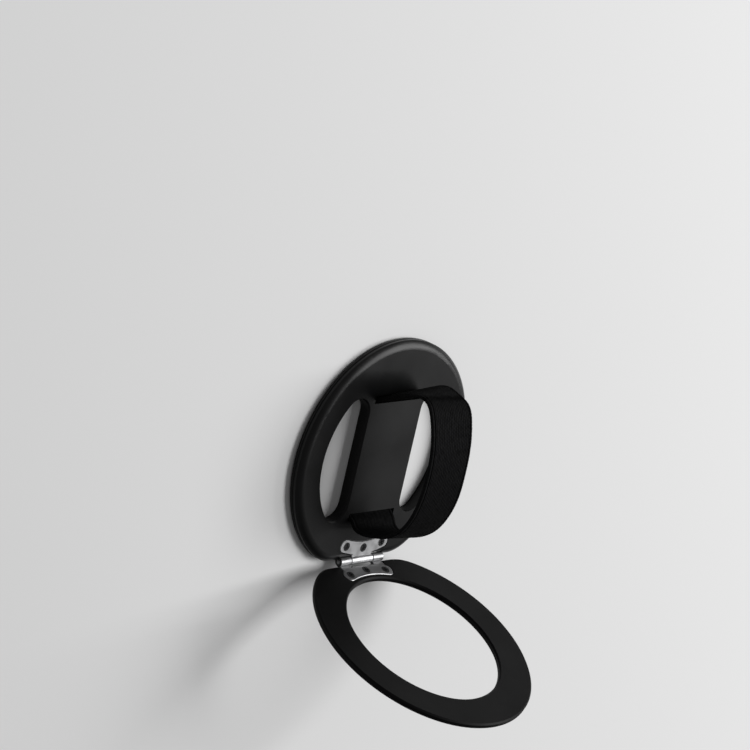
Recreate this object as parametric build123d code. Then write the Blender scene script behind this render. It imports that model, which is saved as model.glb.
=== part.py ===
"""Magnetic ring holder with an elastic finger strap and a hinged stand ring.

Millimetres. The grip face lies on z = 0 with the middle of the ring at the origin, +Z points out of
the base towards the finger strap, and +Y points away from the hinge. The stand ring is modelled folded
shut on the base and then turned open about the hinge axis.
"""

import os
from math import asin, degrees

from build123d import *

# Base: a ring with a bridge across it, moulded as two halves
base_radius = 28.0
base_height = 2.95
ring_width = 7.3
bridge_wall = 1.25
opening_corner_radius = 3.8
shoulder_radius = 10.0
seam_height = 1.2
seam_bevel = 0.2
edge_bevel = 1.0
edge_round = 2.4
foot_bevel = 0.3
rim_bevel = 0.3
base_flat_setback = 0.35

# Grip pad, let into the lower face
pad_thickness = 0.5
pad_proud = 0.15
pad_inset = 0.9
pad_clearance = 0.05

# Magnets in a C-shaped channel, with a steel yoke behind them
magnet_count = 16
magnet_width = 4.2
magnet_thickness = 1.05
magnet_gap = 0.2
channel_wall = 1.1
channel_floor = 0.3
channel_clearance = 0.05
yoke_thickness = 0.3
hinge_sector_half_angle = 29.0

# Elastic strap: webbing through two slots in the bridge
strap_width = 15.0
strap_thickness = 1.0
strap_clearance = 0.1
strap_floor = 0.3
slot_spacing = 28.8
slot_side_clearance = 0.25
slot_gap = 1.9
strap_tuck_radius = 0.8
far_mouth_radius = 1.5
near_mouth_radius = 0.7
near_fold_radius = 1.2
loop_height = 18.5
loop_crown_place = 4.0
loop_far_reach = 5.3
loop_far_bulge = 4.0
loop_near_reach = 3.5
loop_near_fold = 2.5

# Heights of the strap's corners and its bends there, as shares of the loop's height
far_knee_share = 0.31
far_knee_radius_share = 0.65
far_shoulder_share = 0.84
far_shoulder_radius_share = 0.23
crown_radius_share = 1.35
near_shoulder_share = 0.91
near_shoulder_inset_share = 0.26
near_shoulder_radius_share = 0.49
near_knee_share = 0.34
near_knee_radius_share = 0.27

# Heights at which the strap leaves its slots and folds over, as shares of its thickness
mouth_rise_share = 0.4
near_fold_rise_share = 1.75

# Hinge: two stamped leaves rolled round one pin
pin_radius = 0.5
pin_running_clearance = 0.05
pin_press_clearance = 0.01
pin_end_proud = 0.15
pin_end_bevel = 0.12
leaf_thickness = 0.5
leaf_inset = 7.2
leaf_width = 3.4
leaf_corner_share = 0.44
leaf_end_reach = 0.8
leaf_setback = 0.25
leaf_bevel = 0.2
leaf_clearance = 0.1
barrel_length = 14.4
middle_knuckle = 7.0
knuckle_gap = 0.3
barrel_gap = 0.35
curl_slit = 0.1

# Countersunk screws, three in each leaf
screw_spacing = 6.0
screw_head_radius = 1.05
screw_shank_radius = 0.6
screw_base_length = 1.5
screw_stand_length = 0.7
screw_clearance = 0.02
screw_cross_length = 1.3
screw_cross_width = 0.3
screw_cross_depth = 0.22

# Stand ring, which closes edge to edge over the base
stand_ring_width = 8.35
stand_thickness = 1.5
stand_bevel = 0.35
stand_flat_setback = 0.75
closed_gap = 0.2
open_angle = 111.4

# Places that follow from those sizes
opening_radius = base_radius - ring_width
bridge_width = strap_width + 2 * slot_side_clearance + 2 * bridge_wall
knuckle_radius = pin_radius + pin_running_clearance + leaf_thickness
leaf_inner_radius = base_radius - leaf_inset
leaf_outer_radius = leaf_inner_radius + leaf_width
leaf_middle_radius = (leaf_inner_radius + leaf_outer_radius) / 2
leaf_half_width = barrel_length / 2 + leaf_end_reach
axis_distance = leaf_outer_radius + leaf_setback + knuckle_radius
stand_radius = base_radius
stand_inner_radius = stand_radius - stand_ring_width
stand_face = base_height + closed_gap
axis_height = stand_face - knuckle_radius + leaf_thickness
outer_knuckle = (barrel_length - middle_knuckle) / 2 - knuckle_gap
outer_knuckle_middle = (barrel_length - outer_knuckle) / 2
shell_foot = pad_proud
channel_bottom = pad_thickness + channel_floor
magnet_top = channel_bottom + magnet_thickness
yoke_top = magnet_top + yoke_thickness
channel_top = yoke_top + channel_clearance
channel_outer_radius = base_radius - channel_wall
channel_inner_radius = channel_outer_radius - magnet_width - 2 * channel_clearance
slot_place = slot_spacing / 2
strap_run_bottom = pad_thickness + strap_floor
strap_run_middle = strap_run_bottom + strap_clearance + strap_thickness / 2
strap_run_top = strap_run_middle + strap_thickness / 2 + strap_clearance
hinge_axis = Axis((0, -axis_distance, axis_height), (1, 0, 0))


def slab(plan, bottom, top):
    """A plan drawn on z = 0, raised between two heights."""
    return extrude(Pos(0, 0, bottom) * plan, top - bottom)


def flat_face(solid, end):
    """A solid's highest flat face, for end = -1, or its lowest, for end = 0."""
    return solid.faces().filter_by(Axis.Z).sort_by(Axis.Z)[end]


def flat_disc(radius, flat, shoulder):
    """A disc cut straight across towards the hinge, with rounded shoulders at the ends of the cut."""
    beyond = Pos(0, -flat - radius) * Rectangle(3 * radius, 2 * radius)
    disc = Circle(radius) - beyond
    return fillet(disc.vertices().group_by(Axis.Y)[0], shoulder)


def d_openings(inset):
    """The two D-shaped openings beside the bridge, grown by inset on every side."""
    half_bridge = bridge_width / 2 - inset
    reach = opening_radius + inset
    holes = Circle(reach) - Rectangle(2 * half_bridge, 3 * reach)
    corners = [v for v in holes.vertices() if abs(v.Y) > half_bridge]
    return fillet(corners, opening_corner_radius + inset)


def base_plan(inset):
    """The base seen from above, drawn in by inset from all its edges."""
    flat = axis_distance - base_flat_setback
    disc = flat_disc(base_radius - inset, flat - inset, shoulder_radius - inset)
    return disc - d_openings(inset)


def barrel_notch():
    """What is cut away, seen from above, so that the barrel turns clear of a ring's flat."""
    across = barrel_length + 4 * pin_end_proud
    side = axis_distance - knuckle_radius - barrel_gap
    return Pos(0, -side - axis_distance / 2) * Rectangle(across, axis_distance)


def ring_sector(inner, outer, start, span):
    """Part of a flat ring, from an angle start and over an angle span in degrees."""
    with BuildSketch() as sector:
        with BuildLine():
            outside = CenterArc((0, 0), outer, start, span)
            inside = CenterArc((0, 0), inner, start, span)
            Line(outside @ 0, inside @ 0)
            Line(outside @ 1, inside @ 1)
        make_face()
    return sector.sketch


def channel_plan(clearance):
    """The C shape that the magnets and the yoke lie in, drawn in by clearance at the ring's two walls."""
    start = -90 + hinge_sector_half_angle
    span = 360 - 2 * hinge_sector_half_angle
    return ring_sector(channel_inner_radius + clearance, channel_outer_radius - clearance, start, span)


def screw_places():
    """The three screw centres of a leaf on a ring about the origin, hinge towards -Y."""
    turn = degrees(asin(screw_spacing / leaf_middle_radius))
    turns = (-turn, 0, turn)
    return [Rot(0, 0, angle) * Pos(0, -leaf_middle_radius, 0) for angle in turns]


def screw_holes(head_height, length, clearance):
    """Shank holes of the three screws, running down from the leaf's lower face."""
    top = head_height - leaf_thickness
    hole = Pos(0, 0, top - length / 2) * Cylinder(screw_shank_radius + clearance, length)
    return [place * hole for place in screw_places()]


def strap_hollow():
    """The room that the strap runs in under the bridge, and the two slots it comes out of."""
    across = strap_width + 2 * slot_side_clearance
    long = slot_spacing + slot_gap
    run = slab(Rectangle(across, long), strap_run_bottom, strap_run_top)
    for side in (-1, 1):
        mouth = Pos(0, side * slot_place) * Rectangle(across, slot_gap)
        run += slab(mouth, strap_run_bottom, 2 * base_height)
    return run


def leaf_plan(tab_end, tab_middles, tab_length):
    """A leaf seen from above: a curved band with rounded ends, and tabs that reach the barrel."""
    half_angle = degrees(asin(leaf_half_width / leaf_middle_radius))
    band = ring_sector(leaf_inner_radius, leaf_outer_radius, -90 - half_angle, 2 * half_angle)
    band = fillet(band.vertices(), leaf_corner_share * leaf_width)
    plan = band - barrel_notch()
    length = axis_distance - tab_end - leaf_middle_radius
    for middle in tab_middles:
        plan += Pos(middle, -leaf_middle_radius - length / 2) * Rectangle(tab_length, length)
    return plan


def base_leaf_plan():
    return leaf_plan((knuckle_radius + pin_radius) / 2, (0,), middle_knuckle)


def stand_leaf_plan():
    middles = (-outer_knuckle_middle, outer_knuckle_middle)
    return leaf_plan(0, middles, outer_knuckle)


def leaf_bed(plan, bottom, top):
    """The room that a leaf is let into, wider than the leaf by its clearance."""
    return slab(offset(plan, leaf_clearance), bottom, top)


def knuckles(height, middles, length):
    """The rolled tubes of a leaf, about the hinge axis."""
    tube = Rot(0, 90, 0) * Cylinder(knuckle_radius, length)
    return [Pos(middle, -axis_distance, height) * tube for middle in middles]


def pin_bore(height, clearance):
    bore = Cylinder(pin_radius + clearance, 2 * barrel_length)
    return Pos(0, -axis_distance, height) * Rot(0, 90, 0) * bore


def countersinks(face_height, clearance):
    """Cones for the screw heads, wide at the leaf's face and as deep as the leaf is thick."""
    cone = Cone(screw_shank_radius + clearance, screw_head_radius + clearance, leaf_thickness)
    return [place * Pos(0, 0, face_height - leaf_thickness / 2) * cone for place in screw_places()]


def curl_gap(height):
    """The slit where a rolled knuckle's free edge comes back under its leaf."""
    slit = Box(2 * barrel_length, knuckle_radius, curl_slit)
    return Pos(0, -axis_distance + knuckle_radius / 2, height - curl_slit / 2) * slit


def leaf(plan, face_height, tubes, bore, slit):
    """A stamped leaf with a bevelled face, its rolled knuckles and its three countersunk holes."""
    plate = slab(plan, face_height - leaf_thickness, face_height)
    plate = chamfer(flat_face(plate, -1).edges(), leaf_bevel)
    for tube in tubes:
        plate += tube - slit
    plate -= bore
    for sink in countersinks(face_height, screw_clearance):
        plate -= sink
    return plate


def screws(face_height, length):
    """Three countersunk screws with cross recesses."""
    head = Pos(0, 0, -leaf_thickness / 2) * Cone(screw_shank_radius, screw_head_radius, leaf_thickness)
    shank = Pos(0, 0, -leaf_thickness - length / 2) * Cylinder(screw_shank_radius, length)
    cross = Box(screw_cross_length, screw_cross_width, 2 * screw_cross_depth)
    cross += Box(screw_cross_width, screw_cross_length, 2 * screw_cross_depth)
    screw = head + shank - cross
    return [place * Pos(0, 0, face_height) * screw for place in screw_places()]


def make_grip_pad():
    return slab(base_plan(pad_inset), 0, pad_thickness)


def make_lower_shell():
    shell = slab(base_plan(0), shell_foot, seam_height)
    shell = chamfer(flat_face(shell, 0).outer_wire().edges(), foot_bevel)
    shell = chamfer(flat_face(shell, -1).outer_wire().edges(), seam_bevel)
    shell -= slab(barrel_notch(), 0, base_height)
    shell -= slab(base_plan(pad_inset - pad_clearance), 0, pad_thickness)
    shell -= slab(channel_plan(0), channel_bottom, base_height)
    shell -= strap_hollow()
    for hole in screw_holes(base_height, screw_base_length + screw_clearance, screw_clearance):
        shell -= hole
    return shell


def make_top_cover():
    cover = slab(base_plan(0), seam_height, base_height)
    cover = chamfer(flat_face(cover, 0).outer_wire().edges(), seam_bevel)
    cover = chamfer(flat_face(cover, -1).outer_wire().edges(), edge_bevel)
    cover = fillet(flat_face(cover, -1).outer_wire().edges(), edge_round)
    for rim in flat_face(cover, -1).inner_wires():
        cover = chamfer(rim.edges(), rim_bevel)
    cover -= slab(barrel_notch(), 0, 2 * base_height)
    cover -= slab(channel_plan(0), 0, channel_top)
    cover -= strap_hollow()
    cover -= leaf_bed(base_leaf_plan(), base_height - leaf_thickness, 2 * base_height)
    for hole in screw_holes(base_height, screw_base_length + screw_clearance, screw_clearance):
        cover -= hole
    return cover


def make_magnet(number):
    """One arc magnet of the C, counted from the hinge's right side."""
    span = (360 - 2 * hinge_sector_half_angle) / magnet_count
    gap_angle = degrees(magnet_gap / channel_outer_radius)
    start = -90 + hinge_sector_half_angle + number * span + gap_angle / 2
    inner = channel_inner_radius + channel_clearance
    outer = channel_outer_radius - channel_clearance
    return slab(ring_sector(inner, outer, start, span - gap_angle), channel_bottom, magnet_top)


def make_steel_yoke():
    return slab(channel_plan(channel_clearance), magnet_top, yoke_top)


def above_base(share):
    """A height over the base's face, as a share of the strap loop's height."""
    return base_height + share * loop_height


def strap_line():
    """The strap's middle line in the YZ plane, as (corner, bend radius) round the loop.

    It runs under the bridge, out of the far slot, bulges out and over in a lopsided arch, and comes back
    low over the ring into the slot by the hinge.
    """
    far = slot_place
    near = -slot_place
    mouth = base_height + mouth_rise_share * strap_thickness
    fold = base_height + near_fold_rise_share * strap_thickness
    near_top = near + near_shoulder_inset_share * loop_height
    return [
        ((far, strap_run_middle), strap_tuck_radius),
        ((far, mouth), far_mouth_radius),
        ((far + loop_far_bulge, above_base(far_knee_share)), far_knee_radius_share * loop_height),
        ((far + loop_far_reach, above_base(far_shoulder_share)), far_shoulder_radius_share * loop_height),
        ((loop_crown_place, above_base(1)), crown_radius_share * loop_height),
        ((near_top, above_base(near_shoulder_share)), near_shoulder_radius_share * loop_height),
        ((near - loop_near_reach, above_base(near_knee_share)), near_knee_radius_share * loop_height),
        ((near - loop_near_fold, fold), near_fold_radius),
        ((near, mouth), near_mouth_radius),
        ((near, strap_run_middle), strap_tuck_radius),
    ]


def make_strap():
    corners = [corner for corner, _ in strap_line()]
    bends = [bend for _, bend in strap_line()]
    with BuildSketch() as middle:
        with BuildLine():
            FilletPolyline(*corners, radius=bends, close=True)
        make_face()
    band = offset(middle.sketch, strap_thickness / 2) - offset(middle.sketch, -strap_thickness / 2)
    return extrude(Plane.YZ * band, strap_width / 2, both=True)


def make_base_leaf():
    tubes = knuckles(axis_height, (0,), middle_knuckle)
    bore = pin_bore(axis_height, pin_running_clearance)
    slit = curl_gap(base_height - leaf_thickness)
    return leaf(base_leaf_plan(), base_height, tubes, bore, slit)


def make_hinge_pin():
    pin = Rot(0, 90, 0) * Cylinder(pin_radius, barrel_length + 2 * pin_end_proud)
    ends = pin.edges().filter_by(GeomType.CIRCLE)
    return Pos(0, -axis_distance, axis_height) * chamfer(ends, pin_end_bevel)


def folded_shut(shape):
    """Takes what is drawn face up on a ring about the origin to its place on the closed stand ring.

    The stand's face looks down at the base, so the drawing is turned over about Y, which keeps the hinge
    towards -Y.
    """
    return Pos(0, 0, stand_face) * Rot(0, 180, 0) * shape


def opened(shape):
    """Turns a piece of the stand from folded shut to its open pose."""
    return shape.rotate(hinge_axis, open_angle)


def make_stand_ring():
    """The ring, its face at z = 0 and its back below, let in for the leaf and cut away for the barrel."""
    disc = flat_disc(stand_radius, axis_distance - stand_flat_setback, shoulder_radius)
    ring = slab(disc - Circle(stand_inner_radius), -stand_thickness, 0)
    ends = ring.faces().filter_by(Axis.Z)
    ring = chamfer(ends.edges(), stand_bevel)
    ring -= slab(barrel_notch(), -2 * stand_thickness, stand_thickness)
    ring -= leaf_bed(stand_leaf_plan(), -leaf_thickness, stand_thickness)
    for hole in screw_holes(0, screw_stand_length + screw_clearance, screw_clearance):
        ring -= hole
    return opened(folded_shut(ring))


def make_stand_leaf():
    axis_side = stand_face - axis_height
    middles = (-outer_knuckle_middle, outer_knuckle_middle)
    tubes = knuckles(axis_side, middles, outer_knuckle)
    bore = pin_bore(axis_side, pin_press_clearance)
    slit = curl_gap(-leaf_thickness)
    plate = leaf(stand_leaf_plan(), 0, tubes, bore, slit)
    return opened(folded_shut(plate))


def make_base_screws():
    return Compound(screws(base_height, screw_base_length))


def make_stand_screws():
    return Compound([opened(folded_shut(screw)) for screw in screws(0, screw_stand_length)])


def all_pieces():
    """Every piece by its node's name."""
    pieces = {
        "grip_pad": make_grip_pad(),
        "lower_shell": make_lower_shell(),
        "top_cover": make_top_cover(),
        "steel_yoke": make_steel_yoke(),
        "strap": make_strap(),
        "base_leaf": make_base_leaf(),
        "base_leaf_screws": make_base_screws(),
        "stand_leaf": make_stand_leaf(),
        "stand_leaf_screws": make_stand_screws(),
        "hinge_pin": opened(make_hinge_pin()),
        "stand_ring": make_stand_ring(),
    }
    for number in range(magnet_count):
        pieces[f"magnet_{number + 1:02d}"] = make_magnet(number)
    return pieces


def main():
    os.makedirs("parts", exist_ok=True)
    for name, piece in all_pieces().items():
        export_step(piece, f"parts/{name}.step")


main()
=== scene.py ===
"""Looks of a magnetic ring holder with a webbing finger strap and a hinged stand ring.

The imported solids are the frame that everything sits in: metres, the grip face on z = 0, +Z out of the base,
+Y away from the hinge. The file is laid out as an add-on and run as a script.
"""

import bpy
import numpy as np
from bpy.props import FloatProperty, FloatVectorProperty, IntProperty, PointerProperty
from mathutils import Matrix, Vector


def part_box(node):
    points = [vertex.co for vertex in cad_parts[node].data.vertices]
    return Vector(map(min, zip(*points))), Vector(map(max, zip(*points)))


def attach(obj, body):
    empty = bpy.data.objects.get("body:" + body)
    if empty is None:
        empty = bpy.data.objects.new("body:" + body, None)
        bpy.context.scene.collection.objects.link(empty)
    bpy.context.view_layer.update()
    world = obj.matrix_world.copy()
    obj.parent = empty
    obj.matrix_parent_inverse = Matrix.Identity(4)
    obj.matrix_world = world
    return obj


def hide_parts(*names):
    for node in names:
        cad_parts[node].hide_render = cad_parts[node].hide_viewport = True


bl_info = {
    "name": "Ring Holder Looks",
    "version": (1, 0, 0),
    "blender": (4, 5, 0),
    "location": "3D View > Sidebar > Ring Holder",
    "description": "Dresses the packed ring holder with its webbing, plastic, coating and steel",
    "category": "Mesh",
}

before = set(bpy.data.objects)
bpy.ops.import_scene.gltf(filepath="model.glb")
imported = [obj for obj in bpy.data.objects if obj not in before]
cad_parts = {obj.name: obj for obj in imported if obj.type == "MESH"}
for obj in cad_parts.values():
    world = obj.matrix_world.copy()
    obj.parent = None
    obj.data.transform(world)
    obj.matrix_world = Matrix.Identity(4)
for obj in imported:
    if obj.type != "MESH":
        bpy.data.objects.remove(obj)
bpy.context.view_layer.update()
mm = 0.001

strap_low, strap_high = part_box("strap")
pin_low, pin_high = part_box("hinge_pin")

# The strap's two edges in the YZ plane, in millimetres: y and z of its left edge, at -X, then of its right
# edge. The list goes along the run under the bridge, out of the far slot, over the crown and back into the
# slot by the hinge. The loop stands a little higher at its left edge.
strap_stations = (
    (0.0, 1.4, 0.0, 1.4),
    (12.4, 1.4, 12.4, 1.4),
    (14.2, 2.2, 14.2, 2.2),
    (14.9, 3.9, 15.4, 3.9),
    (16.7, 7.0, 17.9, 7.4),
    (18.5, 11.0, 19.1, 11.0),
    (19.6, 14.6, 18.6, 13.9),
    (18.9, 17.6, 17.4, 17.1),
    (15.4, 19.8, 14.0, 19.2),
    (10.0, 21.5, 8.3, 20.5),
    (3.4, 22.1, 1.9, 20.8),
    (-4.0, 21.4, -4.8, 20.3),
    (-9.4, 19.6, -10.1, 18.5),
    (-13.4, 16.4, -14.0, 15.8),
    (-15.7, 11.4, -17.0, 11.3),
    (-16.6, 7.4, -17.9, 7.4),
    (-16.1, 4.8, -17.1, 4.7),
    (-14.9, 3.6, -15.5, 3.6),
    (-14.2, 2.2, -14.2, 2.2),
    (-12.4, 1.4, -12.4, 1.4),
)

# Fine sizes of the weave: widths in metres, heights and depths as shares of a rib's height
pinch_depth = 0.65
# The inner face's flatter weave stays smooth on the coarser mesh there, and its lower height also paints that
# face darker: a painted shade on the face turned in.
inner_height = 0.3
band_height = 0.7
band_blend = 0.2 * mm
stitch_depth = 0.5
groove_depth = 1.6
groove_width = 0.16 * mm
crease_width = 0.45 * mm
fold_width = 0.8 * mm

# How far a crease runs along the webbing for each step across it
crease_slant = 0.18

# Names under which the strap's mesh keeps its UV map and the height of its weave; the material paints shade
# and highlight by that height
weave_map = "weave"
weave_height = "weave_height"

# How far in from its ends and out from its axis the hinge barrel takes its end colour: painted shade on the
# stand leaf's knuckles, and on the pin the lighter steel colour against its painted-dark body
barrel_end_depth = 0.2 * mm
barrel_end_radius = 1.2 * mm


class StrapSettings(bpy.types.PropertyGroup):
    """Sizes and colour of the elastic webbing."""

    width: FloatProperty(
        name="Width",
        description="Width of the webbing",
        default=strap_high.x - strap_low.x,
        unit="LENGTH",
    )
    thickness: FloatProperty(
        name="Thickness",
        description="Thickness of the webbing",
        default=1.0 * mm,
        unit="LENGTH",
    )
    ribs: IntProperty(
        name="Ribs",
        description="Elastic cords that run along the webbing between its edges",
        default=20,
    )
    rib_height: FloatProperty(
        name="Rib height",
        description="How far a rib stands over the gaps beside it",
        default=0.1 * mm,
        unit="LENGTH",
    )
    pick: FloatProperty(
        name="Pick",
        description="Distance between cross threads on one rib",
        default=0.8 * mm,
        unit="LENGTH",
    )
    edge_round: FloatProperty(
        name="Edge round",
        description="How far the rounded edge stands out beyond the flat face",
        default=0.3 * mm,
        unit="LENGTH",
    )
    edge_band: FloatProperty(
        name="Edge band",
        description="Width of the plain woven band at each edge",
        default=0.9 * mm,
        unit="LENGTH",
    )
    # The creases are cut into the shape and also painted darker through the weave's height: painted shade in
    # them.
    creases: FloatVectorProperty(
        name="Creases",
        description="Places along the webbing of its slanted creases",
        default=(37.4 * mm, 39.2 * mm, 42.8 * mm),
        unit="LENGTH",
    )
    crease_depth: FloatProperty(
        name="Crease depth",
        description="Depth of a crease at the right edge",
        default=0.035 * mm,
        unit="LENGTH",
    )
    # The fold is cut into the shape and also painted darker through the weave's height: a painted shade
    # across the far shoulder.
    fold: FloatProperty(
        name="Fold",
        description="Place along the webbing of the soft fold where it turns over its far shoulder",
        default=29.7 * mm,
        unit="LENGTH",
    )
    fold_depth: FloatProperty(
        name="Fold depth",
        description="Depth of that fold",
        default=0.07 * mm,
        unit="LENGTH",
    )
    colour: FloatVectorProperty(
        name="Colour",
        description="Colour of the yarn",
        subtype="COLOR",
        default=(0.0058, 0.0058, 0.006),
    )


class BaseSettings(bpy.types.PropertyGroup):
    """Finish of the moulded base and of what it holds inside."""

    colour: FloatVectorProperty(
        name="Colour",
        description="Colour of the moulded halves",
        subtype="COLOR",
        default=(0.005, 0.005, 0.0052),
    )
    roughness: FloatProperty(
        name="Roughness",
        description="Roughness of the upper half's satin moulding",
        default=0.34,
        subtype="FACTOR",
    )
    shell_roughness: FloatProperty(
        name="Shell roughness",
        description="Roughness of the lower half's satin moulding",
        default=0.4,
        subtype="FACTOR",
    )
    gloss: FloatProperty(
        name="Gloss",
        description="Strength of the reflections of the moulding and the pad",
        default=0.2,
        subtype="FACTOR",
    )
    pad_colour: FloatVectorProperty(
        name="Pad colour",
        description="Colour of the soft grip pad",
        subtype="COLOR",
        default=(0.018, 0.018, 0.019),
    )
    pad_roughness: FloatProperty(
        name="Pad roughness",
        description="Roughness of the soft grip pad",
        default=0.75,
        subtype="FACTOR",
    )
    yoke_colour: FloatVectorProperty(
        name="Yoke colour",
        description="Colour of the steel strip behind the magnets",
        subtype="COLOR",
        default=(0.45, 0.45, 0.46),
    )
    magnet_colour: FloatVectorProperty(
        name="Magnet colour",
        description="Colour of the magnets' plating",
        subtype="COLOR",
        default=(0.6, 0.59, 0.57),
    )


class HingeSettings(bpy.types.PropertyGroup):
    """Finish of the hinge and its screws, with painted shade on the stand leaf, the pin and the barrel's cut
    ends.
    """

    steel_colour: FloatVectorProperty(
        name="Steel colour",
        description="Colour of the base leaf and its knuckle",
        subtype="COLOR",
        default=(0.36, 0.36, 0.365),
    )
    steel_roughness: FloatProperty(
        name="Steel roughness",
        description="Roughness of the tumbled steel",
        default=0.4,
        subtype="FACTOR",
    )
    # Painted shade: the stand leaf is the base leaf's steel made darker, and the pin's ends take the same
    # colour.
    shaded_share: FloatProperty(
        name="Stand leaf share",
        description="Colour of the stand leaf and the pin's ends, as a share of the base leaf's",
        default=0.7,
        subtype="FACTOR",
    )
    # Painted shade: the pin is painted dark so the gaps between the knuckles read dark, and the barrel's cut
    # ends are painted dark as shade.
    dark_share: FloatProperty(
        name="Pin share",
        description="Colour of the pin and the barrel's cut ends, as a share of the base leaf's",
        default=0.12,
        subtype="FACTOR",
    )
    pin_roughness: FloatProperty(
        name="Pin roughness",
        description="Roughness of the pin",
        default=0.5,
        subtype="FACTOR",
    )
    screw_colour: FloatVectorProperty(
        name="Screw colour",
        description="Colour of the blackened screws",
        subtype="COLOR",
        default=(0.019, 0.019, 0.0194),
    )


class StandSettings(bpy.types.PropertyGroup):
    """Finish of the stand ring."""

    colour: FloatVectorProperty(
        name="Colour",
        description="Colour of the coat",
        subtype="COLOR",
        default=(0.003, 0.003, 0.0031),
    )
    roughness: FloatProperty(
        name="Roughness",
        description="Roughness of the coat",
        default=0.5,
        subtype="FACTOR",
    )
    gloss: FloatProperty(
        name="Gloss",
        description="Strength of the coat's reflections",
        default=0.07,
        subtype="FACTOR",
    )


class StageSettings(bpy.types.PropertyGroup):
    """Camera, floor and light."""

    camera_place: FloatVectorProperty(
        name="Camera",
        description="Place of the camera",
        subtype="TRANSLATION",
        default=(-756.06 * mm, 299.63 * mm, 608.88 * mm),
    )
    camera_aim: FloatVectorProperty(
        name="Aim",
        description="Point in the middle of the picture",
        subtype="TRANSLATION",
        default=(1.16 * mm, 16.46 * mm, -6.15 * mm),
    )
    camera_up: FloatVectorProperty(
        name="Up",
        description="Direction that is up in the picture",
        subtype="DIRECTION",
        default=(0.069, 0.936, -0.346),
    )
    lens: FloatProperty(
        name="Lens",
        description="Focal length in millimetres on a 36 mm sensor",
        default=212.88,
    )
    floor_colour: FloatVectorProperty(
        name="Floor colour",
        description="Colour of the pale floor",
        subtype="COLOR",
        default=(0.82, 0.82, 0.82),
    )
    world_level: FloatProperty(
        name="Surroundings",
        description="Brightness of the grey surroundings",
        default=0.18,
    )
    key_power: FloatProperty(
        name="Key lamp",
        description="Power of the soft lamp",
        default=21.3,
        unit="POWER",
    )


def add_object(name, data):
    """A new object in the scene."""
    thing = bpy.data.objects.new(name, data)
    bpy.context.scene.collection.objects.link(thing)
    return thing


def add_piece(mesh, material, body, *replaced):
    """Puts a mesh in the scene as a piece that moves with a body and stands for CAD nodes."""
    piece = add_object(mesh.name, mesh)
    mesh.materials.append(material)
    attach(piece, body)
    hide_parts(*replaced)
    return piece


def paint(material, *names):
    """Gives CAD nodes a material."""
    for name in names:
        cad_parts[name].material_slots[0].material = material


def grid_mesh(name, points, uv, height):
    """A mesh from a grid of points that closes on itself both ways.

    Face (i, j) joins grid places i and i + 1 along the first way and j and j + 1 along the second, and both
    counts wrap round. The UV grid has one more row and column than the points, for the seams. The height of
    the weave at each point is kept as an attribute for the material, which paints shade and highlight by it.
    """
    rows, columns = points.shape[:2]
    i, j = np.meshgrid(np.arange(rows), np.arange(columns), indexing="ij")
    i_corner = np.stack((i, i + 1, i + 1, i), axis=-1)
    j_corner = np.stack((j, j, j + 1, j + 1), axis=-1)
    corner = (i_corner % rows) * columns + j_corner % columns
    mesh = bpy.data.meshes.new(name)
    mesh.vertices.add(rows * columns)
    mesh.vertices.foreach_set("co", points.astype(np.float32).ravel())
    mesh.loops.add(corner.size)
    mesh.loops.foreach_set("vertex_index", corner.astype(np.int32).ravel())
    mesh.polygons.add(rows * columns)
    mesh.polygons.foreach_set("loop_start", np.arange(0, corner.size, 4, dtype=np.int32))
    mesh.polygons.foreach_set("use_smooth", np.ones(rows * columns, dtype=bool))
    mesh.update(calc_edges=True)
    layer = mesh.uv_layers.new(name=weave_map)
    layer.uv.foreach_set("vector", uv[i_corner, j_corner].astype(np.float32).ravel())
    attribute = mesh.attributes.new(weave_height, "FLOAT", "POINT")
    attribute.data.foreach_set("value", height.astype(np.float32).ravel())
    mesh.validate()
    return mesh


def closed_spline(points, shares, steps=64):
    """Places on a smooth closed line through points, at shares of its length, and that length.

    A cubic runs between each two points, timed by the distance between them. Neighbouring cubics share
    slope and curvature, so the curvatures at the points solve one ring of linear equations. The length is
    added up over a number of short steps on each cubic.
    """
    size = len(points)
    order = np.arange(size)
    ahead = np.roll(points, -1, axis=0)
    gap = np.linalg.norm(ahead - points, axis=1)
    ring = np.diag(2 * (gap + np.roll(gap, 1)))
    ring[order, (order + 1) % size] = gap
    ring[order, order - 1] = np.roll(gap, 1)
    slope = (ahead - points) / gap[:, None]
    curve = np.linalg.solve(ring, 6 * (slope - np.roll(slope, 1, axis=0)))
    share = np.linspace(0, 1, steps, endpoint=False)[:, None]
    rest = 1 - share
    bow = curve[:, None] * (rest**3 - rest) + np.roll(curve, -1, axis=0)[:, None] * (share**3 - share)
    line = points[:, None] * rest + ahead[:, None] * share + bow * (gap**2 / 6)[:, None, None]
    line = line.reshape(-1, points.shape[1])
    closed = np.vstack((line, line[:1]))
    travel = np.concatenate(([0], np.linalg.norm(np.diff(closed, axis=0), axis=1).cumsum()))
    places = [np.interp(shares * travel[-1], travel, column) for column in closed.T]
    return np.stack(places, axis=1), travel[-1]


def loop_shares(hidden_share, hidden_steps, seen_steps):
    """Shares of the strap's length: few in the run under the bridge, at both ends, and many between."""
    first = np.linspace(0, hidden_share, hidden_steps, endpoint=False)
    seen = np.linspace(hidden_share, 1 - hidden_share, seen_steps, endpoint=False)
    last = np.linspace(1 - hidden_share, 1, hidden_steps, endpoint=False)
    return np.concatenate((first, seen, last))


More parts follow.
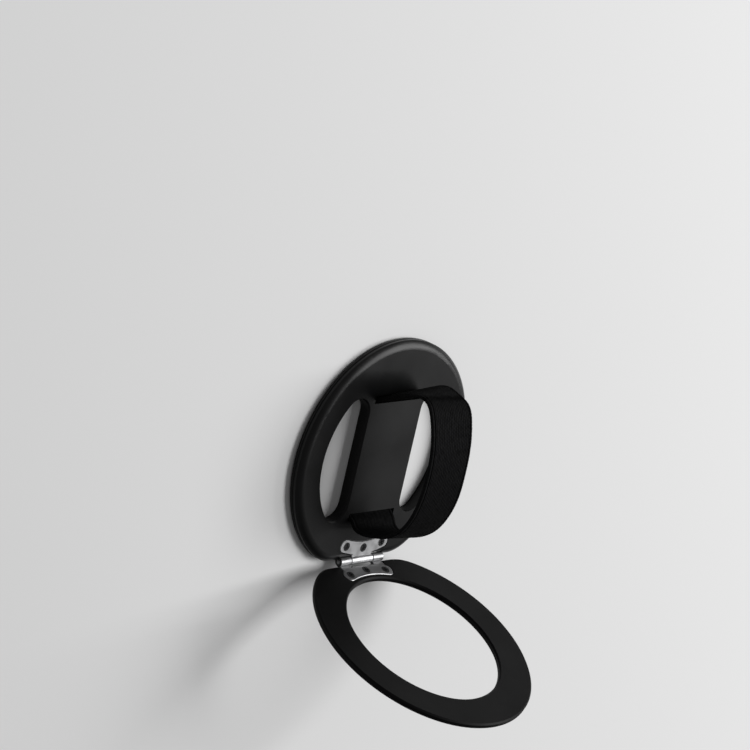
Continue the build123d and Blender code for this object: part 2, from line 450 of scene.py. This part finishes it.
def webbing_section(outer_steps, inner_steps, edge_steps):
    """One turn round the webbing's section: across from -1 to 1, edge bulge, and lift, 1 on its outer face.

    It runs across the outer face, round the right edge as half an ellipse, back across the inner face and
    round the left edge.
    """
    outer = np.linspace(-1, 1, outer_steps)
    inner = np.linspace(1, -1, inner_steps)
    turn = np.linspace(0, np.pi, edge_steps + 2)[1:-1]
    edge = np.ones(edge_steps)
    across = np.concatenate((outer, edge, inner, -edge))
    bulge = np.concatenate((0 * outer, np.sin(turn), 0 * inner, -np.sin(turn)))
    lift = np.concatenate((1 + 0 * outer, np.cos(turn), -1 + 0 * inner, -np.cos(turn)))
    return across, bulge, lift


def wave(phase):
    """A cosine turned over, from 0 at each whole turn to 1 half a turn later."""
    return 0.5 - 0.5 * np.cos(phase)


def bell(away, width):
    """A bell curve: e to the power of minus the square of a distance in widths."""
    return np.exp(-((away / width) ** 2))


def weave_relief(along, across, outer, settings):
    """Height of the weave over the smooth face, for places along and across the webbing in metres.

    Ribs are a wave across, half as many and flatter on the inner face. Cross threads pinch each rib as a
    wave along it, half a step out from the rib beside it. In the band at each edge the ribs give way to
    cross threads alone, beyond a stitched groove. Three slanted creases, each a bell curve, fade in towards
    the right edge of the outer face, and a wider bell curve is the fold across its far shoulder.
    """
    # The material paints the webbing darker where this height is low and lighter where it is high: painted
    # shade and highlight.
    inside = settings.width / 2 - settings.edge_band
    past = np.abs(across) - inside
    ribs = np.where(outer, settings.ribs, settings.ribs // 2)
    place = (across / inside + 1) * ribs / 2
    thread = 2 * np.pi * along / settings.pick
    pinch = pinch_depth * wave(thread + np.pi * np.floor(place))
    # Flatter ribs on the inner face also paint it darker through the weave's height: painted shade.
    body = wave(2 * np.pi * place) * (1 - pinch) * np.where(outer, 1, inner_height)
    edge = np.clip(past / band_blend, 0, 1)
    stitch = 1 - stitch_depth * wave(thread)
    groove = groove_depth * stitch * bell(past, groove_width)
    relief = settings.rib_height * (body * (1 - edge) + band_height * stitch * edge - groove)
    fade = np.clip(2 * across / settings.width, 0, 1) * outer
    for start in settings.creases:
        away = along - start + crease_slant * across
        relief = relief - settings.crease_depth * fade * bell(away, crease_width)
    return relief - settings.fold_depth * outer * bell(along - settings.fold, fold_width)


def webbing_points(settings):
    """The strap's points, along the loop and then round its section, with UV map, heights and length.

    The middle surface is ruled between the two edge lines. Its normal in the YZ plane is the line's tangent
    turned a quarter outwards, and the section's lift and the weave's height are laid off along it. The UV
    map counts millimetres along the loop and round the section, and the heights are shares of a rib's
    height. The line holds both edges at once, so its length is the root of two times the webbing's.
    """
    shares = loop_shares(hidden_share=0.14, hidden_steps=16, seen_steps=480)
    across, bulge, lift = webbing_section(outer_steps=120, inner_steps=56, edge_steps=6)
    line, travel = closed_spline(np.array(strap_stations) * mm, shares)
    length = travel / np.sqrt(2)
    side = across * (settings.width / 2 - settings.edge_round) + bulge * settings.edge_round
    share = (side / settings.width + 0.5)[None, :, None]
    middle = line[:, None, :2] * (1 - share) + line[:, None, 2:] * share
    tangent = np.roll(middle, -1, axis=0) - np.roll(middle, 1, axis=0)
    tangent /= np.linalg.norm(tangent, axis=2, keepdims=True)
    along = (shares * length)[:, None]
    relief = weave_relief(along, side[None, :], lift > 0, settings)
    height = (settings.thickness / 2 - settings.rib_height) * lift + relief * np.sign(lift)
    y = middle[..., 0] + tangent[..., 1] * height
    z = middle[..., 1] - tangent[..., 0] * height
    points = np.stack((np.broadcast_to(side, y.shape), y, z), axis=-1)
    ring = np.stack((side, settings.thickness / 2 * lift), axis=1)
    ring = np.vstack((ring, ring[:1]))
    around = np.concatenate(([0], np.linalg.norm(np.diff(ring, axis=0), axis=1).cumsum()))
    u, v = np.meshgrid(np.append(shares, 1) * length, around, indexing="ij")
    return points, np.stack((u, v), axis=-1) / mm, relief / settings.rib_height, length


def new_material(name):
    """An empty node material, with its nodes, its links and its shader."""
    material = bpy.data.materials.new(name)
    material.use_nodes = True
    nodes = material.node_tree.nodes
    return material, nodes, material.node_tree.links, nodes["Principled BSDF"]


def feed(links, node, inputs):
    """Feeds a node's inputs, by name or number, each from another node's output or with a plain value."""
    for name, value in inputs.items():
        if isinstance(value, bpy.types.NodeSocket):
            links.new(value, node.inputs[name])
        else:
            node.inputs[name].default_value = value


def add_node(nodes, links, kind, **inputs):
    """A shader node with its inputs fed."""
    node = nodes.new(kind)
    feed(links, node, inputs)
    return node


def grain(nodes, links, place, scale, detail):
    """Fine noise over a piece, in grains for each unit of its coordinates."""
    noise = add_node(nodes, links, "ShaderNodeTexNoise", Vector=place, Scale=scale, Detail=detail)
    return noise.outputs["Fac"]


def spread(nodes, links, factor, low, high):
    """A number that runs from low to high as a factor runs over the middle range of a noise."""
    ranges = {"From Min": 0.3, "From Max": 0.7, "To Min": low, "To Max": high}
    return add_node(nodes, links, "ShaderNodeMapRange", Value=factor, **ranges).outputs["Result"]


def times(colour, share):
    """A colour times a share, as shaders take it."""
    return (*[c * share for c in colour[:3]], 1)


def blend(nodes, links, factor, first, second):
    """A colour that runs from a first to a second one as a factor runs from 0 to 1."""
    node = nodes.new("ShaderNodeMix")
    node.data_type = "RGBA"
    feed(links, node, {"Factor": factor, "A": first, "B": second})
    return node.outputs["Result"]


def shades(nodes, links, factor, colour, low, high):
    """A colour that runs from low to high times itself as a factor runs from 0 to 1."""
    return blend(nodes, links, factor, times(colour, low), times(colour, high))


def calculate(nodes, links, operation, *numbers):
    """The result of a calculation on numbers or other nodes' outputs, held between 0 and 1."""
    node = nodes.new("ShaderNodeMath")
    node.operation = operation
    node.use_clamp = True
    feed(links, node, dict(enumerate(numbers)))
    return node.outputs["Value"]


def add_bump(nodes, links, shader, height, depth, strength):
    """Bump from a height, joined to the shader's normal."""
    bump = add_node(nodes, links, "ShaderNodeBump", Height=height, Distance=depth, Strength=strength)
    links.new(bump.outputs["Normal"], shader.inputs["Normal"])


def satin_black(name, colour, roughness, gloss, grains):
    """Black with a fine moulded or sprayed grain, a little uneven in gloss."""
    material, nodes, links, shader = new_material(name)
    place = nodes.new("ShaderNodeTexCoord").outputs["Object"]
    cloudy = grain(nodes, links, place, scale=90, detail=3)
    fine = grain(nodes, links, place, scale=grains, detail=2)
    tone = shades(nodes, links, cloudy, colour, low=0.85, high=1.2)
    sheen = spread(nodes, links, cloudy, low=roughness - 0.04, high=roughness + 0.05)
    feed(links, shader, {"Base Color": tone, "Roughness": sheen, "Specular IOR Level": gloss})
    add_bump(nodes, links, shader, fine, depth=0.01 * mm, strength=0.35)
    return material


def distance_from(nodes, links, place, middle, axes):
    """Distance of a place from a middle, counted only along the axes that are 1."""
    offset = [-m * a for m, a in zip(middle, axes)]
    mapping = add_node(nodes, links, "ShaderNodeMapping", Vector=place, Location=offset, Scale=axes)
    length = nodes.new("ShaderNodeVectorMath")
    length.operation = "LENGTH"
    links.new(mapping.outputs["Vector"], length.inputs[0])
    return length.outputs["Value"]


def barrel_ends(nodes, links, place):
    """1 at both ends of the hinge barrel and 0 elsewhere. It marks the knuckles' cut ends, painted dark as
    shade, and the pin's ends, which keep a lighter steel colour than its painted-dark body.

    That is where the distance from the pin's middle along its axis is over its half length less the ends'
    depth, and the distance from the axis is under their radius.
    """
    middle = (pin_low + pin_high) / 2
    half_length = pin_high.x - middle.x
    along = distance_from(nodes, links, place, middle, (1, 0, 0))
    away = distance_from(nodes, links, place, middle, (0, 1, 1))
    past = calculate(nodes, links, "GREATER_THAN", along, half_length - barrel_end_depth)
    near = calculate(nodes, links, "LESS_THAN", away, barrel_end_radius)
    return calculate(nodes, links, "MULTIPLY", past, near)


def tumbled_steel(name, colour, roughness, end_colour=None):
    """Steel with short rolling marks across the leaf and a slightly patchy gloss.

    Where an end colour is given, the faces at both ends of the hinge barrel have it: a painted shade on the
    stand leaf's knuckles, and on the pin, whose body is painted dark as shade in the knuckle gaps, the
    lighter steel colour.
    """
    material, nodes, links, shader = new_material(name)
    place = nodes.new("ShaderNodeTexCoord").outputs["Object"]
    stretched = add_node(nodes, links, "ShaderNodeMapping", Vector=place, Scale=(0.12, 1, 1))
    marks = grain(nodes, links, stretched.outputs["Vector"], scale=9000, detail=3)
    patches = grain(nodes, links, place, scale=600, detail=3)
    tone = shades(nodes, links, patches, colour, low=0.9, high=1.08)
    if end_colour:
        tone = blend(nodes, links, barrel_ends(nodes, links, place), tone, end_colour)
    sheen = spread(nodes, links, patches, low=roughness - 0.07, high=roughness + 0.08)
    feed(links, shader, {"Base Color": tone, "Roughness": sheen, "Metallic": 1})
    add_bump(nodes, links, shader, marks, depth=0.005 * mm, strength=0.2)
    return material


def black_screw(name, colour):
    """Blackened steel, rubbed a little brighter in spots."""
    material, nodes, links, shader = new_material(name)
    place = nodes.new("ShaderNodeTexCoord").outputs["Object"]
    rubbed = grain(nodes, links, place, scale=2500, detail=3)
    tone = shades(nodes, links, rubbed, colour, low=0.3, high=2.2)
    sheen = spread(nodes, links, rubbed, low=0.32, high=0.5)
    feed(links, shader, {"Base Color": tone, "Roughness": sheen, "Metallic": 0.8})
    add_bump(nodes, links, shader, rubbed, depth=0.01 * mm, strength=0.3)
    return material


def webbing_yarn(name, colour):
    """Black yarn, flecked by its twist along the UV map's millimetres, rougher down in the weave and painted
    darker there as shade.

    The level that sets tone and gloss is 0.7 times the weave's height, plus up to 0.5 from the flecks. The
    tone runs from 0.15 to 2 times the colour with that level: painted shade in the gaps, grooves, creases and
    fold of the weave and on its flatter inner face, and a painted highlight on the tops of the ribs.
    """
    material, nodes, links, shader = new_material(name)
    place = nodes.new("ShaderNodeUVMap")
    place.uv_map = weave_map
    height = nodes.new("ShaderNodeAttribute")
    height.attribute_name = weave_height
    twist = add_node(nodes, links, "ShaderNodeMapping", Vector=place.outputs["UV"], Scale=(1.4, 5, 1))
    flecks = grain(nodes, links, twist.outputs["Vector"], scale=0.5, detail=5)
    lightened = spread(nodes, links, flecks, low=0, high=0.5)
    level = calculate(nodes, links, "MULTIPLY_ADD", height.outputs["Fac"], 0.7, lightened)
    # Painted shade and highlight: the tone is darker in the low places of the weave and lighter on its
    # ridges.
    tone = shades(nodes, links, level, colour, low=0.15, high=2.0)
    sheen = spread(nodes, links, level, low=0.7, high=0.5)
    feed(links, shader, {"Base Color": tone, "Roughness": sheen, "Specular IOR Level": 0.01})
    add_bump(nodes, links, shader, flecks, depth=0.04 * mm, strength=0.4)
    return material


def plain_floor(name, colour):
    """Pale matt floor, very slightly cloudy."""
    material, nodes, links, shader = new_material(name)
    place = nodes.new("ShaderNodeTexCoord").outputs["Object"]
    cloudy = grain(nodes, links, place, scale=3, detail=2)
    tone = shades(nodes, links, cloudy, colour, low=0.985, high=1.01)
    feed(links, shader, {"Base Color": tone, "Roughness": 0.6})
    return material


def soft_lamp(name, toward, distance, size, power):
    """A square area lamp that looks at the origin from a direction."""
    lamp = bpy.data.lights.new(name, "AREA")
    lamp.shape = "SQUARE"
    lamp.size = size
    lamp.energy = power
    piece = add_object(name, lamp)
    direction = Vector(toward).normalized()
    piece.location = direction * distance
    piece.rotation_euler = direction.to_track_quat("Z", "Y").to_euler()


class RingHolderBase(bpy.types.Operator):
    """Finishes the moulded cover, lower shell and grip pad, and what they hold inside"""

    bl_idname = "ring_holder.base"
    bl_label = "Base"

    def execute(self, context):
        settings = context.scene.ring_holder_base
        gloss = settings.gloss
        cover = satin_black("cover_satin", settings.colour, settings.roughness, gloss, grains=5000)
        shell = satin_black("shell_satin", settings.colour, settings.shell_roughness, gloss, grains=5000)
        pad = satin_black("pad_matt", settings.pad_colour, settings.pad_roughness, gloss, grains=3000)
        yoke = tumbled_steel("yoke_sheet", settings.yoke_colour, roughness=0.42)
        plating = tumbled_steel("magnet_plate", settings.magnet_colour, roughness=0.22)
        magnets = [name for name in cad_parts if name.startswith("magnet_")]
        paint(cover, "top_cover")
        paint(shell, "lower_shell")
        paint(pad, "grip_pad")
        paint(yoke, "steel_yoke")
        paint(plating, *magnets)
        return {"FINISHED"}


class RingHolderStrap(bpy.types.Operator):
    """Weaves the elastic strap and threads it through its slots"""

    bl_idname = "ring_holder.strap"
    bl_label = "Strap"

    def execute(self, context):
        settings = context.scene.ring_holder_strap
        points, uv, height, length = webbing_points(settings)
        mesh = grid_mesh("webbing_strap", points, uv, height)
        strap = add_piece(mesh, webbing_yarn("webbing_yarn", settings.colour), "base", "strap")
        return {"FINISHED"}


class RingHolderHinge(bpy.types.Operator):
    """Finishes the two leaves, their pin and their screws"""

    bl_idname = "ring_holder.hinge"
    bl_label = "Hinge"

    def execute(self, context):
        settings = context.scene.ring_holder_hinge
        steel = settings.steel_colour
        # The stand leaf is painted darker than the base leaf, as shade; the pin is painted dark so the
        # knuckle gaps read as shade, and the barrel's cut ends too.
        shaded_steel = times(steel, settings.shaded_share)
        dark = times(steel, settings.dark_share)
        roughness = settings.steel_roughness
        paint(tumbled_steel("base_leaf_steel", steel, roughness), "base_leaf")
        paint(tumbled_steel("stand_leaf_steel", shaded_steel, roughness, end_colour=dark), "stand_leaf")
        paint(tumbled_steel("pin_steel", dark, settings.pin_roughness, end_colour=shaded_steel), "hinge_pin")
        paint(black_screw("screw_black", settings.screw_colour), "base_leaf_screws", "stand_leaf_screws")
        return {"FINISHED"}


class RingHolderStand(bpy.types.Operator):
    """Coats the stand ring"""

    bl_idname = "ring_holder.stand"
    bl_label = "Stand ring"

    def execute(self, context):
        settings = context.scene.ring_holder_stand
        coat = satin_black("stand_coat", settings.colour, settings.roughness, settings.gloss, grains=7000)
        paint(coat, "stand_ring")
        return {"FINISHED"}


class RingHolderStage(bpy.types.Operator):
    """Sets the floor, the lamp, the surroundings and the camera"""

    bl_idname = "ring_holder.stage"
    bl_label = "Stage"

    def execute(self, context):
        settings = context.scene.ring_holder_stage
        self.lay_floor(settings)
        self.light(context, settings)
        self.place_camera(context, settings)
        context.scene.view_settings.view_transform = "Standard"
        return {"FINISHED"}

    def lay_floor(self, settings):
        """A wide flat square on z = 0."""
        reach = 3.0
        mesh = bpy.data.meshes.new("floor")
        corners = [(-reach, -reach, 0), (reach, -reach, 0), (reach, reach, 0), (-reach, reach, 0)]
        mesh.from_pydata(corners, [], [(0, 1, 2, 3)])
        floor = add_object("floor", mesh)
        mesh.materials.append(plain_floor("floor_matt", settings.floor_colour))

    def light(self, context, settings):
        """One soft lamp from above on the +X side, in even grey surroundings."""
        soft_lamp("key_lamp", toward=(0.69, 0.21, 0.69), distance=1.4, size=1.0, power=settings.key_power)
        world = bpy.data.worlds.new("surroundings")
        world.use_nodes = True
        background = world.node_tree.nodes["Background"]
        background.inputs["Color"].default_value = (1, 1, 1, 1)
        background.inputs["Strength"].default_value = settings.world_level
        context.scene.world = world

    def place_camera(self, context, settings):
        """The camera looks from its place to its aim; its right is square to its up and to that line."""
        place = Vector(settings.camera_place)
        back = (place - Vector(settings.camera_aim)).normalized()
        right = Vector(settings.camera_up).cross(back).normalized()
        up = back.cross(right)
        camera_data = bpy.data.cameras.new("camera")
        camera_data.sensor_width = 36
        camera_data.lens = settings.lens
        camera = add_object("camera", camera_data)
        camera.matrix_world = Matrix.Translation(place) @ Matrix((right, up, back)).transposed().to_4x4()
        context.scene.camera = camera


class VIEW3D_PT_ring_holder(bpy.types.Panel):
    """Lists the sizes, the colours and the steps that dress the ring holder"""

    bl_label = "Ring Holder"
    bl_space_type = "VIEW_3D"
    bl_region_type = "UI"
    bl_category = "Ring Holder"

    def draw(self, context):
        for group in setting_groups:
            settings = getattr(context.scene, group)
            box = self.layout.box()
            for name in settings.__annotations__:
                box.prop(settings, name)
        for step in steps:
            self.layout.operator(step.bl_idname)


setting_groups = {
    "ring_holder_base": BaseSettings,
    "ring_holder_strap": StrapSettings,
    "ring_holder_hinge": HingeSettings,
    "ring_holder_stand": StandSettings,
    "ring_holder_stage": StageSettings,
}
steps = (RingHolderBase, RingHolderStrap, RingHolderHinge, RingHolderStand, RingHolderStage)


def register():
    """Adds the settings, the steps and their panel."""
    for name, group in setting_groups.items():
        bpy.utils.register_class(group)
        setattr(bpy.types.Scene, name, PointerProperty(type=group))
    for step in steps:
        bpy.utils.register_class(step)
    bpy.utils.register_class(VIEW3D_PT_ring_holder)


def unregister():
    """Takes them away again, last first."""
    bpy.utils.unregister_class(VIEW3D_PT_ring_holder)
    for step in reversed(steps):
        bpy.utils.unregister_class(step)
    for name, group in reversed(setting_groups.items()):
        delattr(bpy.types.Scene, name)
        bpy.utils.unregister_class(group)


def main():
    """Dresses the ring holder step by step."""
    register()
    bpy.ops.ring_holder.base()
    bpy.ops.ring_holder.strap()
    bpy.ops.ring_holder.hinge()
    bpy.ops.ring_holder.stand()
    bpy.ops.ring_holder.stage()


if __name__ == "__main__":
    main()
